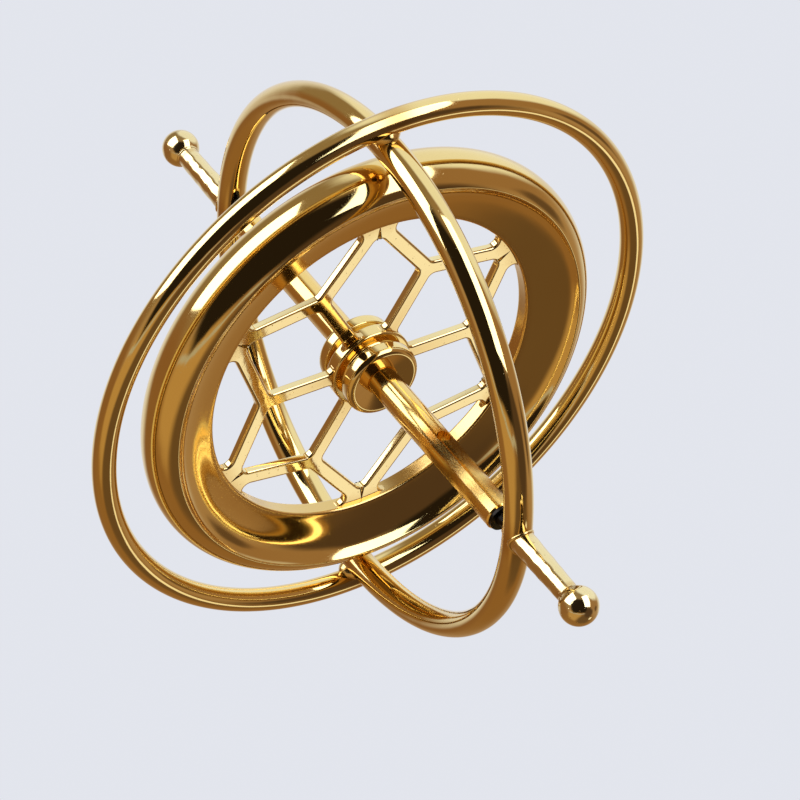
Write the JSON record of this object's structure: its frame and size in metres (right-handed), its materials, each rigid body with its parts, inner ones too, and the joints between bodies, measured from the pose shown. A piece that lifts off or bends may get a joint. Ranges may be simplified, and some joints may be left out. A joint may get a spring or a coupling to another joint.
{
  "type": "toy gyroscope",
  "caption": "Hand-held gyroscope with a spoked flywheel that spins inside two crossed wire rings, with a ball-ended stem at each pole.",
  "frame": {"origin": "centre of the flywheel, on the spin axis and in the plane of the equator ring", "axes": "+Z along the spin axis from the lower ball to the upper ball; +X towards one crossing of the two rings, in the plane of the arch ring; +Y square to the arch ring"},
  "size_m": [0.0646, 0.0646, 0.0826],
  "materials": {
    "ring_gold": "mirror-polished gold plate on wire",
    "solder_gold": "gold plate over a rough bead of solder",
    "stem_gold": "polished gold plate, slightly uneven on the turned stem",
    "flywheel_gold": "mirror-polished gold plate on a casting",
    "spoke_gold": "polished gold plate, a little softer on the cast spokes",
    "axle_gold": "polished gold plate with fine turning lines",
    "black_steel": "dark oiled steel"
  },
  "bodies": {
    "ring_frame": {"equator_ring": "ring_gold", "arch_ring": "ring_gold", "front_ring_solder": "solder_gold", "rear_ring_solder": "solder_gold", "lower_stem": "stem_gold", "upper_stem": "stem_gold", "lower_stem_solder": "solder_gold", "upper_stem_solder": "solder_gold"},
    "flywheel": {"flywheel_rim": "flywheel_gold", "hub": "flywheel_gold", "lower_hub_collar": "flywheel_gold", "upper_hub_collar": "flywheel_gold", "spoke_1": "spoke_gold", "spoke_2": "spoke_gold", "spoke_3": "spoke_gold", "spoke_4": "spoke_gold", "spoke_5": "spoke_gold", "spoke_6": "spoke_gold", "axle": "axle_gold", "lower_pivot": "black_steel", "upper_pivot": "black_steel"}
  },
  "joints": [
    {"name": "flywheel_spin", "type": "hinge", "parent": "ring_frame", "child": "flywheel", "pos_m": [0, 0, 0], "axis": [0, 0, 1], "continuous": true}
  ]
}
